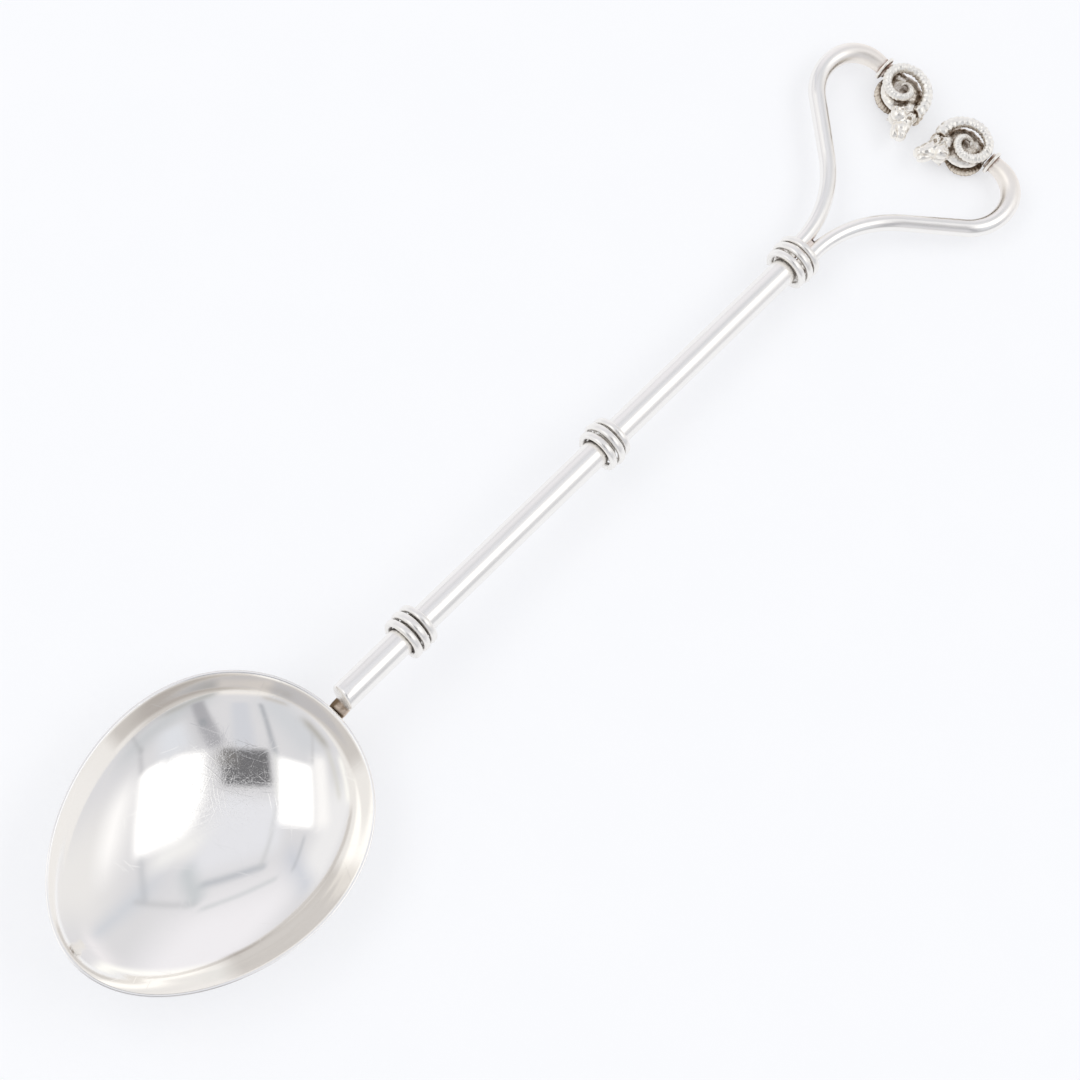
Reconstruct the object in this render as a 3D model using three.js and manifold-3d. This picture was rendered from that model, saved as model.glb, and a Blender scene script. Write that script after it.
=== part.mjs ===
// Silver serving spoon: an egg-shaped raised bowl hangs from a short tang under a round rod handle.
// Three wire bindings grip the rod, and the last one holds two thinner arms bent into a heart.
// Each arm ends in a collar and a cast ram's head with two ribbed spiral horns.
// Millimetres, Z up. The spoon lies as it does on a table, on its bowl and on its lower horns.
// It is built along the rod: X runs from the rod's bowl end to the heart, Z is up across the rod,
// and the last lines tip it down to the table and centre it.

import * as THREE from 'three';
import Module from 'manifold-3d';
import { mergeVertices } from 'three/addons/utils/BufferGeometryUtils.js';

const wasm = await Module();
wasm.setup();

// Gaps that the solder fills
const solderGap = 0.3;
const armGap = 0.2;

// Bowl
const bowlLength = 54.7;
const bowlHalfWidth = 21.45;
const bowlFullness = 0.109;
const bowlTipDrift = -0.9;
const bowlDepth = 10.2;
const bowlSteepness = 0.93;
const bowlDeepestFromRim = 19.4;
const bowlWall = 1.0;
const rimWidth = 0.75;
const rimFromRod = 2.1;
const rimBelowAxis = 3.3;
const restFlatDepth = 0.25;

// Tang
const tangWidth = 3.1;
const tangThickness = 1.8;
const tangTailWidth = 1.4;
const tangTailThickness = 0.6;
const tangLapOnRod = 7.0;
const tangFromRodEnd = 0.4;
const tangLapOnBowl = 0.42;
const tangSquareness = 0.6;

// Handle rod
const rodDiameter = 4.5;
const rodLength = 105.2;
const rodBevel = 0.4;

// Wire bindings
const bindingWire = 1.15;
const bindingPitch = 1.65;
const bindingTurns = 2.6;
const bindingStep = 160;
const lowerBindingAt = 14.3;
const middleBindingAt = 59.3;
const upperBindingPastRod = 0.95;
const lowerBindingSwell = 0.15;
const middleBindingSwell = 0.4;
const upperBindingSwell = 0.1;

// Heart arms, bent from straight wire
const armDiameter = 2.65;
const armStraightAtRoot = 4.5;
const flareRadius = 21;
const flareAngle = 48;
const armStraight = 10.9;
const shoulderRadius = 8.8;
const shoulderAngle = 63;
const lobeRadius = 5.8;
const lobeAngle = 75;
const armStraightAtHead = 2.1;
const heartLean = 1.1;

// Collars
const collarWire = 0.62;
const collarGap = 0.22;
const collarFromEnd = 0.7;

// Ram's heads: local X runs to the muzzle, local Y to the forehead, Z across the head
const neckBend = 49.5;
const neckSeatAngle = 207;
const neckPastHorn = 0.05;
const neckRadius = 1.3;
const skullHalfHeight = 3.0;
const skullHalfWidth = 1.4;
const faceHalfWidth = 2.05;
const muzzleReach = 8.3;
const neckLength = 1.3;
const neckSwell = 1.15;
const eyeDiameter = 1.15;
const eyeAt = 0.57;
const eyeRise = 0.42;
const earLength = 1.7;
const earAt = 0.52;
const earRise = -0.2;
const mouthOpening = 0.35;
const mouthRise = -0.42;

// Horns
const hornCoilRadius = 3.58;
const hornRootPastCoil = 1.12;
const hornTipRadius = 0.55;
const hornRootAngle = 28;
const hornSweep = 590;
const hornRootThickness = 2.1;
const hornCoilThickness = 1.5;
const hornTipThickness = 0.55;
const hornsApart = 0.6;
const hornRibs = 26;
const hornRibDepth = 0.12;
const hornRibCrowding = 0.92;
// How fast the horn leaves its root: in radius, in thickness and out from the head
const hornRadiusSettles = 9;
const hornThicknessSettles = 6;
const hornOffsetSettles = 7;
// Where along the horn it begins to curl in and to taper, as shares of its length
const hornCurlsFrom = 0.3;
const hornTapersFrom = 0.35;

// Facets
const bowlFacets = 60;
const bowlRings = 12;
const tangFacets = 12;
const lapSteps = 4;
const bowlSteps = 9;
const rodFacets = 28;
const armFacets = 12;
const armSteps = 46;
const wireFacets = 6;
const wireStepsPerTurn = 24;
const collarFacets = 18;
const collarWireFacets = 8;
const headFacets = 16;
const earFacets = 8;
const eyeFacets = 10;
const hornFacets = 8;
const smallStep = 0.001;

const rodRadius = rodDiameter / 2;
const armRadius = armDiameter / 2;
const armOffset = armRadius + armGap / 2;
const Y = new THREE.Vector3(0, 1, 0);
const Z = new THREE.Vector3(0, 0, 1);

const polished = { color: 0xe4e2de, metalness: 1, roughness: 0.12 };
const satin = { color: 0xd6d3cc, metalness: 1, roughness: 0.3 };
const oxidised = { color: 0xb9b2a6, metalness: 1, roughness: 0.38 };

function named(name, geometry, finish) {
  const mesh = new THREE.Mesh(geometry, new THREE.MeshStandardMaterial(finish));
  mesh.name = name;
  return mesh;
}

function toSolid(geometry) {
  const bare = geometry.clone();
  bare.deleteAttribute('normal');
  bare.deleteAttribute('uv');
  const merged = mergeVertices(bare, 1e-5);
  return new wasm.Manifold(new wasm.Mesh({
    numProp: 3,
    vertProperties: new Float32Array(merged.attributes.position.array),
    triVerts: new Uint32Array(merged.index.array),
  }));
}

function toGeometry(solid) {
  const mesh = solid.getMesh();
  const geometry = new THREE.BufferGeometry();
  geometry.setAttribute('position', new THREE.BufferAttribute(new Float32Array(mesh.vertProperties), 3));
  geometry.setIndex(new THREE.BufferAttribute(new Uint32Array(mesh.triVerts), 1));
  geometry.computeVertexNormals();
  return geometry;
}

// A closed skin over a row of rings, each with as many points, capped flat at both ends
function loft(rings) {
  const sides = rings[0].length;
  const points = rings.flat();
  const first = points.length;
  const last = first + 1;
  points.push(centreOf(rings[0]), centreOf(rings[rings.length - 1]));
  const faces = [];
  for (let r = 0; r < rings.length - 1; r += 1) {
    for (let k = 0; k < sides; k += 1) {
      const a = r * sides + k;
      const b = r * sides + (k + 1) % sides;
      faces.push(a, b, b + sides, a, b + sides, a + sides);
    }
  }
  const end = (rings.length - 1) * sides;
  for (let k = 0; k < sides; k += 1) {
    const next = (k + 1) % sides;
    faces.push(first, next, k);
    faces.push(last, end + k, end + next);
  }
  const geometry = new THREE.BufferGeometry().setFromPoints(points);
  geometry.setIndex(faces);
  geometry.computeVertexNormals();
  return geometry;
}

function atAngle(degrees, radius) {
  const angle = THREE.MathUtils.degToRad(degrees);
  return new THREE.Vector3(radius * Math.cos(angle), radius * Math.sin(angle), 0);
}

function centreOf(ring) {
  const sum = new THREE.Vector3();
  ring.forEach((point) => sum.add(point));
  return sum.divideScalar(ring.length);
}

// An oval ring about a centre, from its two half axes, turning from `side` towards `up`
function ovalRing(centre, side, up, halfSide, halfUp, count, squareness = 1) {
  const ring = [];
  for (let k = 0; k < count; k += 1) {
    const angle = 2 * Math.PI * k / count;
    const c = Math.cos(angle);
    const s = Math.sin(angle);
    const across = Math.sign(c) * Math.abs(c) ** squareness * halfSide;
    const along = Math.sign(s) * Math.abs(s) ** squareness * halfUp;
    ring.push(centre.clone().addScaledVector(side, across).addScaledVector(up, along));
  }
  return ring;
}

function roundSection(radius, sides) {
  const shape = new THREE.Shape();
  for (let k = 0; k < sides; k += 1) {
    const angle = 2 * Math.PI * k / sides;
    const x = radius * Math.cos(angle);
    const y = radius * Math.sin(angle);
    if (k === 0) shape.moveTo(x, y);
    else shape.lineTo(x, y);
  }
  shape.closePath();
  return shape;
}

// The bowl's rim is an egg whose wide end faces the handle
const rimNearX = -rimFromRod;
const rimCentreX = rimNearX - bowlLength / 2;
const deepestX = rimNearX - bowlDeepestFromRim;

function rimPoint(angle, inset) {
  const towards = Math.cos(angle);
  const drift = bowlTipDrift * ((1 - towards) / 2) ** 2;
  const halfWidth = (bowlHalfWidth - inset) * (1 + bowlFullness * towards);
  const halfLength = bowlLength / 2 - inset;
  return new THREE.Vector2(rimCentreX + halfLength * towards, halfWidth * Math.sin(angle) + drift);
}

// The raised curve, from 0 over the deepest point to 1 at the rim
function raisedCurve(share) {
  const rise = (r) => 1 - Math.sqrt(1 - (bowlSteepness * r) ** 2);
  return rise(share) / rise(1);
}

function bowlPoint(share, angle, inset, depth) {
  const rim = rimPoint(angle, inset);
  const x = deepestX + share * (rim.x - deepestX);
  const y = share * rim.y;
  return new THREE.Vector3(x, y, -rimBelowAxis - depth * (1 - raisedCurve(share)));
}

const outerDepth = bowlDepth + bowlWall;

function bowlGeometry() {
  const rings = [];
  const addRing = (r, inset, depth) => {
    const share = Math.sin(Math.PI / 2 * r / bowlRings);
    const ring = [];
    for (let k = 0; k < bowlFacets; k += 1) {
      ring.push(bowlPoint(share, 2 * Math.PI * k / bowlFacets, inset, depth));
    }
    rings.push(ring);
  };
  for (let r = 1; r <= bowlRings; r += 1) addRing(r, 0, outerDepth);
  for (let r = bowlRings; r >= 1; r -= 1) addRing(r, rimWidth, bowlDepth);
  return loft(rings);
}

// The rod, turned with a small bevel at each cut end
function rodGeometry() {
  const profile = [
    new THREE.Vector2(0, 0),
    new THREE.Vector2(rodRadius - rodBevel, 0),
    new THREE.Vector2(rodRadius, rodBevel / 2),
    new THREE.Vector2(rodRadius, rodLength - rodBevel / 2),
    new THREE.Vector2(rodRadius - rodBevel, rodLength),
    new THREE.Vector2(0, rodLength),
  ];
  return new THREE.LatheGeometry(profile, rodFacets).rotateZ(-Math.PI / 2);
}

// The tang lies under the rod, bends down at the rim and thins out along the bowl's outside
function tangGeometry() {
  const spine = [];
  for (let k = 0; k <= lapSteps; k += 1) {
    const x = tangFromRodEnd + tangLapOnRod * (1 - k / lapSteps);
    spine.push({ at: new THREE.Vector3(x, 0, -rodRadius), out: Z.clone().negate(), taper: 0 });
  }
  for (let k = 0; k <= bowlSteps; k += 1) {
    const share = 1 - tangLapOnBowl * k / bowlSteps;
    const at = bowlPoint(share, 0, 0, outerDepth);
    const lower = bowlPoint(share - smallStep, 0, 0, outerDepth);
    const along = lower.sub(at).normalize();
    spine.push({ at, out: new THREE.Vector3(-along.z, 0, along.x), taper: k / bowlSteps });
  }
  const thicknessAt = (taper) => tangThickness + (tangTailThickness - tangThickness) * taper;
  const centres = spine.map((s) => s.at.clone().addScaledVector(s.out, solderGap + thicknessAt(s.taper) / 2));
  const rings = spine.map((s, k) => {
    const before = centres[Math.max(k - 1, 0)];
    const after = centres[Math.min(k + 1, centres.length - 1)];
    const along = after.clone().sub(before).normalize();
    const up = new THREE.Vector3().crossVectors(along, Y).normalize();
    const width = tangWidth + (tangTailWidth - tangWidth) * s.taper;
    return ovalRing(centres[k], Y, up, width / 2, thicknessAt(s.taper) / 2, tangFacets, tangSquareness);
  });
  return loft(rings);
}

// One binding: each turn lies square to the rod on top and steps on to the next one underneath.
// A whole number of turns is on top, and the ends run on straight for one wire diameter.
const middleTurn = 2;

class BindingPath extends THREE.Curve {
  constructor(innerRadius, swell) {
    super();
    this.radius = innerRadius + bindingWire / 2;
    this.swell = swell;
  }

  onCoil(turn) {
    const whole = Math.floor(turn);
    const stepShare = bindingStep / 360;
    const into = THREE.MathUtils.clamp((turn - whole - 0.5) / stepShare + 0.5, 0, 1);
    const advance = whole + into * into * (3 - 2 * into);
    const share = THREE.MathUtils.clamp((turn - middleTurn) / bindingTurns, -0.5, 0.5);
    const radius = this.radius + this.swell * Math.cos(Math.PI * share) ** 2;
    const angle = 2 * Math.PI * turn + Math.PI / 2;
    const along = (advance - middleTurn) * bindingPitch;
    return new THREE.Vector3(along, radius * Math.cos(angle), radius * Math.sin(angle));
  }

  getPoint(t, target = new THREE.Vector3()) {
    const first = middleTurn - bindingTurns / 2;
    const last = middleTurn + bindingTurns / 2;
    const lead = bindingWire / (2 * Math.PI * this.radius);
    const turn = first - lead + t * (bindingTurns + 2 * lead);
    const held = THREE.MathUtils.clamp(turn, first, last);
    const point = this.onCoil(held);
    if (turn !== held) {
      const run = this.onCoil(held + smallStep).sub(this.onCoil(held - smallStep));
      point.addScaledVector(run, (turn - held) / (2 * smallStep));
    }
    return target.copy(point);
  }
}

// The smallest gap between points of the wire that are at least half a turn apart along it
function leastGap(path) {
  const pointsPerTurn = 60;
  const points = path.getSpacedPoints(Math.round(bindingTurns * pointsPerTurn));
  const apart = pointsPerTurn / 2;
  let least = Infinity;
  for (let a = 0; a < points.length; a += 1) {
    for (let b = a + apart; b < points.length; b += 1) {
      least = Math.min(least, points[a].distanceTo(points[b]));
    }
  }
  return least - bindingWire;
}

function bindingMesh(name, at, innerRadius, swell) {
  const path = new BindingPath(innerRadius, swell);
  const geometry = new THREE.ExtrudeGeometry(roundSection(bindingWire / 2, wireFacets), {
    steps: Math.round(wireStepsPerTurn * bindingTurns),
    bevelEnabled: false,
    extrudePath: path,
  });
  console.log(`${name}: least gap between turns ${leastGap(path).toFixed(2)} mm`);
  const mesh = named(name, geometry, oxidised);
  mesh.position.x = at;
  return mesh;
}

// A wire bent step by step: straight runs and arcs, the arcs turning left where their angle is positive
class BentWire extends THREE.Curve {
  constructor(start, bends) {
    super();
    this.start = start;
    this.bends = bends;
    this.total = bends.reduce((sum, bend) => sum + bend.length, 0);
  }

  walk(distance) {
    const point = this.start.clone();
    let heading = 0;
    let left = distance;
    for (const bend of this.bends) {
      const run = Math.min(left, bend.length);
      const turned = bend.angle * run / bend.length;
      if (bend.angle === 0) {
        point.x += run * Math.cos(heading);
        point.y += run * Math.sin(heading);
      } else {
        const radius = bend.length / bend.angle;
        point.x += radius * (Math.sin(heading + turned) - Math.sin(heading));
        point.y += radius * (Math.cos(heading) - Math.cos(heading + turned));
      }
      heading += turned;
      left -= run;
      if (left <= 0) break;
    }
    return { point, heading };
  }

  getPoint(t, target = new THREE.Vector3()) {
    return target.copy(this.walk(t * this.total).point);
  }
}

const straightRun = (length) => ({ length, angle: 0 });
const arcRun = (radius, degrees) => {
  const angle = THREE.MathUtils.degToRad(degrees);
  return { length: radius * Math.abs(angle), angle };
};

function armPath(side) {
  return new BentWire(new THREE.Vector3(solderGap, side * armOffset, 0), [
    straightRun(armStraightAtRoot),
    arcRun(flareRadius, side * flareAngle),
    straightRun(armStraight),
    arcRun(shoulderRadius, -side * shoulderAngle),
    arcRun(lobeRadius, -side * lobeAngle),
    straightRun(armStraightAtHead),
  ]);
}

function armGeometry(path) {
  return new THREE.ExtrudeGeometry(roundSection(armRadius, armFacets), {
    steps: armSteps,
    bevelEnabled: false,
    extrudePath: path,
  });
}

// A round ring closed on itself
function collarGeometry() {
  const middle = armRadius + collarGap + collarWire / 2;
  const profile = [];
  for (let k = 0; k <= collarWireFacets; k += 1) {
    const angle = 2 * Math.PI * k / collarWireFacets;
    const out = middle + collarWire / 2 * Math.cos(angle);
    profile.push(new THREE.Vector2(out, collarWire / 2 * Math.sin(angle)));
  }
  return new THREE.LatheGeometry(profile, collarFacets).rotateZ(-Math.PI / 2);
}

// The neck leaves the head just outside the horns' coils
const neckAlong = atAngle(neckBend, 1);
const neckSeat = atAngle(neckSeatAngle, hornCoilRadius + hornCoilThickness / 2 + neckPastHorn);

// Stations of the head from the neck to the nose. The skull is narrow between the horns and
// widens into the face in front of them.
function headRings(extra) {
  const neckEnd = neckSeat.clone().addScaledVector(neckAlong, neckLength);
  const stations = [
    { at: neckSeat, high: neckRadius, wide: neckRadius },
    { at: neckEnd, high: neckRadius * neckSwell, wide: neckRadius },
  ];
  // Place along the head and rise over its line, as shares of the muzzle's reach and the half height,
  // then half height and half width as shares of the skull's or the face's own
  const skull = [
    [-0.26, -0.1, 0.85, skullHalfWidth * 0.97],
    [-0.08, 0.08, 0.97, skullHalfWidth],
    [0.14, 0.16, 1.0, skullHalfWidth],
    [0.34, 0.14, 0.94, (skullHalfWidth + faceHalfWidth) / 2],
    [0.5, 0.06, 0.8, faceHalfWidth],
    [0.64, -0.03, 0.64, faceHalfWidth * 0.84],
    [0.78, -0.13, 0.52, faceHalfWidth * 0.66],
    [0.9, -0.2, 0.47, faceHalfWidth * 0.62],
    [0.97, -0.25, 0.38, faceHalfWidth * 0.52],
    [1.0, -0.28, 0.2, faceHalfWidth * 0.28],
  ];
  skull.forEach(([reach, rise, high, wide]) => stations.push({
    at: new THREE.Vector3(reach * muzzleReach, rise * skullHalfHeight, 0),
    high: high * skullHalfHeight,
    wide,
  }));
  return stations.map((station, k) => {
    const before = stations[Math.max(k - 1, 0)].at;
    const after = stations[Math.min(k + 1, stations.length - 1)].at;
    const along = k === 0 ? neckAlong : after.clone().sub(before).normalize();
    const up = new THREE.Vector3().crossVectors(Z, along).normalize();
    const centre = station.at.clone();
    if (k === 0) centre.addScaledVector(along, -extra);
    return ovalRing(centre, up, Z, station.high + extra, station.wide + extra, headFacets);
  });
}

// A leaf-shaped ear standing out in front of the horn
function earGeometry(side) {
  const root = new THREE.Vector3(earAt * muzzleReach, earRise * skullHalfHeight, side * 0.7 * faceHalfWidth);
  const along = new THREE.Vector3(-0.1, -0.75, side * 0.65).normalize();
  const across = new THREE.Vector3().crossVectors(along, new THREE.Vector3(0, 0.4, side)).normalize();
  const thick = new THREE.Vector3().crossVectors(along, across).normalize();
  // Place along the ear as a share of its length, then half width and half thickness
  const leaf = [[0, 0.45, 0.3], [0.35, 0.62, 0.3], [0.7, 0.5, 0.22], [1, 0.14, 0.1]];
  return loft(leaf.map(([run, wide, deep]) => (
    ovalRing(root.clone().addScaledVector(along, run * earLength), across, thick, wide, deep, earFacets)
  )));
}

function headGeometry() {
  let head = toSolid(loft(headRings(0)));
  for (const side of [1, -1]) {
    head = head.add(toSolid(earGeometry(side)));
    const eye = new THREE.SphereGeometry(eyeDiameter / 2, eyeFacets, eyeFacets);
    eye.translate(eyeAt * muzzleReach, eyeRise * skullHalfHeight, side * 0.8 * faceHalfWidth);
    head = head.add(toSolid(eye));
  }
  const mouth = new THREE.CylinderGeometry(mouthOpening, mouthOpening * 0.2, 4 * faceHalfWidth, 3);
  mouth.rotateX(Math.PI / 2);
  mouth.scale(4.5, 1, 1);
  mouth.translate(muzzleReach, mouthRise * skullHalfHeight, 0);
  return toGeometry(head.subtract(toSolid(mouth)));
}

// The horn's line: from the crown back, down and forward round the cheek, and in to its tip.
// The coil lies beside the skull, and the two roots lie side by side on the forehead.
const hornRootOffset = (hornsApart + hornRootThickness) / 2;
const hornCoilOffset = skullHalfWidth + solderGap + hornCoilThickness / 2;

function hornPoint(t, side) {
  const curl = THREE.MathUtils.smoothstep(t, hornCurlsFrom, 1);
  const coil = hornCoilRadius + (hornTipRadius - hornCoilRadius) * curl;
  const radius = coil + hornRootPastCoil * Math.exp(-hornRadiusSettles * t);
  const point = atAngle(hornRootAngle + hornSweep * t, radius);
  point.z = side * (hornCoilOffset + (hornRootOffset - hornCoilOffset) * Math.exp(-hornOffsetSettles * t));
  return point;
}

function hornThickness(t) {
  const atRoot = Math.exp(-hornThicknessSettles * t);
  const body = hornCoilThickness + (hornRootThickness - hornCoilThickness) * atRoot;
  const taper = THREE.MathUtils.smoothstep(t, hornTapersFrom, 1);
  return body + (hornTipThickness - body) * taper;
}

function hornGeometry(side) {
  const rings = [];
  const steps = 2 * hornRibs;
  for (let k = 0; k <= steps; k += 1) {
    // Ribs crowd together towards the tip, as the coil tightens
    const t = (k / steps) ** hornRibCrowding;
    const centre = hornPoint(t, side);
    const along = hornPoint(t + smallStep, side).sub(hornPoint(t - smallStep, side)).normalize();
    const across = new THREE.Vector3().crossVectors(along, Z).normalize();
    const up = new THREE.Vector3().crossVectors(across, along).normalize();
    const groove = k % 2 === 0 ? 1 - hornRibDepth : 1;
    const half = hornThickness(t) / 2 * groove;
    rings.push(ovalRing(centre, up, across, half, half, hornFacets));
  }
  const horn = toSolid(loft(rings));
  const seat = toSolid(loft(headRings(solderGap)));
  return toGeometry(horn.subtract(seat));
}

const upperBindingInner = Math.max(rodRadius, armOffset + armRadius) + armGap;

const spoon = new THREE.Group();
spoon.add(named('neck_tang', tangGeometry(), oxidised));
spoon.add(named('handle_rod', rodGeometry(), polished));
spoon.add(bindingMesh('lower_binding', lowerBindingAt, rodRadius + solderGap, lowerBindingSwell));
spoon.add(bindingMesh('middle_binding', middleBindingAt, rodRadius + solderGap, middleBindingSwell));
const upperBindingAt = rodLength + upperBindingPastRod;
spoon.add(bindingMesh('upper_binding', upperBindingAt, upperBindingInner, upperBindingSwell));

const heart = new THREE.Group();
heart.position.x = rodLength;
heart.rotation.z = THREE.MathUtils.degToRad(heartLean);
spoon.add(heart);

const head = headGeometry();
const horns = { upper: hornGeometry(1), lower: hornGeometry(-1) };

for (const [name, side] of [['left', 1], ['right', -1]]) {
  const path = armPath(side);
  heart.add(named(`${name}_heart_arm`, armGeometry(path), polished));

  const end = path.walk(path.total);
  const ahead = new THREE.Vector3(Math.cos(end.heading), Math.sin(end.heading), 0);
  const collar = named(`${name}_collar`, collarGeometry(), satin);
  collar.position.copy(end.point).addScaledVector(ahead, -collarFromEnd);
  collar.rotation.z = end.heading;
  heart.add(collar);

  // The same casting serves both arms: the right one is turned over
  const turned = new THREE.Group();
  const facing = end.heading - side * THREE.MathUtils.degToRad(neckBend);
  turned.rotation.set(side > 0 ? 0 : Math.PI, 0, facing, 'ZYX');
  const seat = neckSeat.clone().applyEuler(turned.rotation);
  turned.position.copy(end.point).addScaledVector(ahead, solderGap).sub(seat);
  turned.add(named(`${name}_ram_head`, head, satin));
  turned.add(named(`${name}_head_upper_horn`, side > 0 ? horns.upper : horns.lower, oxidised));
  turned.add(named(`${name}_head_lower_horn`, side > 0 ? horns.lower : horns.upper, oxidised));
  heart.add(turned);
}

// The table touches the lower horns and a small planished flat under the bowl
heart.updateMatrixWorld(true);
const bowlRest = new THREE.Vector3(deepestX, 0, -rimBelowAxis - outerDepth + restFlatDepth);
let slope = Infinity;
for (const name of ['left', 'right']) {
  const horn = heart.getObjectByName(`${name}_head_lower_horn`);
  const points = horn.geometry.attributes.position;
  for (let k = 0; k < points.count; k += 1) {
    const point = new THREE.Vector3().fromBufferAttribute(points, k).applyMatrix4(horn.matrixWorld);
    slope = Math.min(slope, Math.atan2(point.z - bowlRest.z, point.x - bowlRest.x));
  }
}

const below = new THREE.BoxGeometry(2 * bowlLength, 4 * bowlHalfWidth, 2 * bowlDepth);
below.translate(0, 0, -bowlDepth);
below.rotateY(-slope);
below.translate(bowlRest.x, bowlRest.y, bowlRest.z);
const bowl = toSolid(bowlGeometry()).subtract(toSolid(below));
spoon.add(named('bowl', toGeometry(bowl), polished));

const part = new THREE.Group();
spoon.rotation.y = slope;
part.add(spoon);
part.updateMatrixWorld(true);
const extent = new THREE.Box3().setFromObject(part, true);
const middle = extent.getCenter(new THREE.Vector3());
spoon.position.set(-middle.x, -middle.y, -extent.min.z);

export default part;
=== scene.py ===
import math

import bmesh
import bpy
import numpy as np
from mathutils import Matrix, Vector, noise


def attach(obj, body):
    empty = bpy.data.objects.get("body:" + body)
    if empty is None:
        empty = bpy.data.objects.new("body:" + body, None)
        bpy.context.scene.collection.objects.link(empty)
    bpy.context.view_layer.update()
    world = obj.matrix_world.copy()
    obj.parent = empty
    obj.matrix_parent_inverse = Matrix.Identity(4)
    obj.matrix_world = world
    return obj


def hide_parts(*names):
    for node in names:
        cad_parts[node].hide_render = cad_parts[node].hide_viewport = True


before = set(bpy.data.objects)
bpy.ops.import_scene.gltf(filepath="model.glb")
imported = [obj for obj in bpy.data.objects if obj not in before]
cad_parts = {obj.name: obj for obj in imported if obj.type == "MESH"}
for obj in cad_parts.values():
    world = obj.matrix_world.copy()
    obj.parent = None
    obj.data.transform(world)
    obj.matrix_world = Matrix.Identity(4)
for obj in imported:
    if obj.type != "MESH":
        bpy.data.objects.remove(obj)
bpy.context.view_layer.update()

# Bowl
# One sheet of silver, raised over a stake into an egg-shaped bowl and planished, with a narrow
# filed flat round its rim. It is polished bright inside, and years of wiping have left hairlines.
bowl_length = 54.7
bowl_half_width = 21.45
bowl_fullness = 0.109
bowl_tip_drift = -0.9
bowl_depth = 10.2
bowl_steepness = 0.93
bowl_deepest_from_rim = 19.4
bowl_wall = 1.0
bowl_thinned_from = 0.93
rim_width = 0.75
worn_rim_width = 0.42
rim_from_rod = 2.1
rim_below_axis = 3.3
bowl_rings = 56
bowl_sectors = 288
silver_tint = (0.945, 0.932, 0.91, 1.0)

# The spoon is built along its rod in millimetres, then tipped down to the table and centred
slope = 0.0659950
rod_end_on_table = np.array([-45.98960, 0.18042, 12.80112])


def on_table(points):
    """Rod millimetres to metres in the part's own frame."""
    p = np.asarray(points, dtype=float).reshape(-1, 3)
    c, s = math.cos(slope), math.sin(slope)
    turned = np.stack([c * p[:, 0] + s * p[:, 2], p[:, 1], c * p[:, 2] - s * p[:, 0]], axis=1)
    return (turned + rod_end_on_table) / 1000.0


def silver_piece(name, points, faces, material, uv=None):
    """A smooth-shaded mesh in the part's frame; what would dip under the table is flat on it."""
    placed = on_table(points)
    placed[:, 2] = np.maximum(placed[:, 2], 0.0)
    mesh = bpy.data.meshes.new(name)
    mesh.from_pydata(placed.tolist(), [], [list(f) for f in faces])
    mesh.materials.append(material)
    if uv is not None:
        layer = mesh.uv_layers.new(name="wrap")
        corners = np.empty(len(mesh.loops), dtype=np.int32)
        mesh.loops.foreach_get("vertex_index", corners)
        layer.data.foreach_set("uv", np.asarray(uv, dtype=np.float32)[corners].ravel())
    mesh.polygons.foreach_set("use_smooth", [True] * len(mesh.polygons))
    mesh.update()
    piece = bpy.data.objects.new(name, mesh)
    bpy.context.scene.collection.objects.link(piece)
    return piece


def ring_faces(rings, sides):
    """Quads over rings of points, and a fan of the first and last ring to two more points."""
    faces = []
    for r in range(rings - 1):
        for k in range(sides):
            a, b = r * sides + k, r * sides + (k + 1) % sides
            faces.append((a, b, b + sides, a + sides))
    first, last, end = rings * sides, rings * sides + 1, (rings - 1) * sides
    for k in range(sides):
        n = (k + 1) % sides
        faces.append((first, n, k))
        faces.append((last, end + k, end + n))
    return faces


def around(sides):
    """The angles of the points round a section."""
    return [2 * math.pi * k / sides for k in range(sides)]


def bowl_points(share, angle, inset, depth, drop=0.0):
    """Points round the bowl, at a share of the way from its deepest point out to the rim."""
    near = -rim_from_rod
    centre = near - bowl_length / 2
    deepest = near - bowl_deepest_from_rim
    towards = np.cos(angle)
    rim_x = centre + (bowl_length / 2 - inset) * towards
    rim_y = (bowl_half_width - inset) * (1 + bowl_fullness * towards) * np.sin(angle)
    rim_y = rim_y + bowl_tip_drift * ((1 - towards) / 2) ** 2
    rise, full_rise = (1 - math.sqrt(1 - (bowl_steepness * r) ** 2) for r in (share, 1.0))
    z = -rim_below_axis - drop - (depth - drop) * (1 - rise / full_rise)
    return np.stack([deepest + share * (rim_x - deepest), share * rim_y, np.full_like(rim_x, z)], axis=1)


def feed(tree, made, sockets):
    """Sets a node's sockets, given as plain values or as other nodes' sockets."""
    for key, value in sockets.items():
        if isinstance(value, bpy.types.NodeSocket):
            tree.links.new(value, made.inputs[key])
        else:
            made.inputs[key].default_value = value


def node(tree, kind, sockets=None, **settings):
    made = tree.nodes.new("ShaderNode" + kind)
    for key, value in settings.items():
        setattr(made, key, value)
    feed(tree, made, sockets or {})
    return made


def maths(tree, operation, *values):
    return node(tree, "Math", dict(enumerate(values)), operation=operation).outputs[0]


def plus(tree, a, b):
    return maths(tree, "ADD", a, b)


def minus(tree, a, b):
    return maths(tree, "SUBTRACT", a, b)


def times(tree, a, b):
    return maths(tree, "MULTIPLY", a, b)


def ramp(tree, value, low, high, to_low=0.0, to_high=1.0):
    sockets = {0: value, 1: low, 2: high, 3: to_low, 4: to_high}
    return node(tree, "MapRange", sockets, interpolation_type="SMOOTHSTEP").outputs[0]


def blend(tree, share, first, second):
    """Two colours mixed: a share of 0 gives the first."""
    return node(tree, "Mix", {0: share, 6: first, 7: second}, data_type="RGBA").outputs[2]


def mottled(tree, vector, scale, detail):
    return node(tree, "TexNoise", {"Vector": vector, "Scale": scale, "Detail": detail}).outputs[0]


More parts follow.
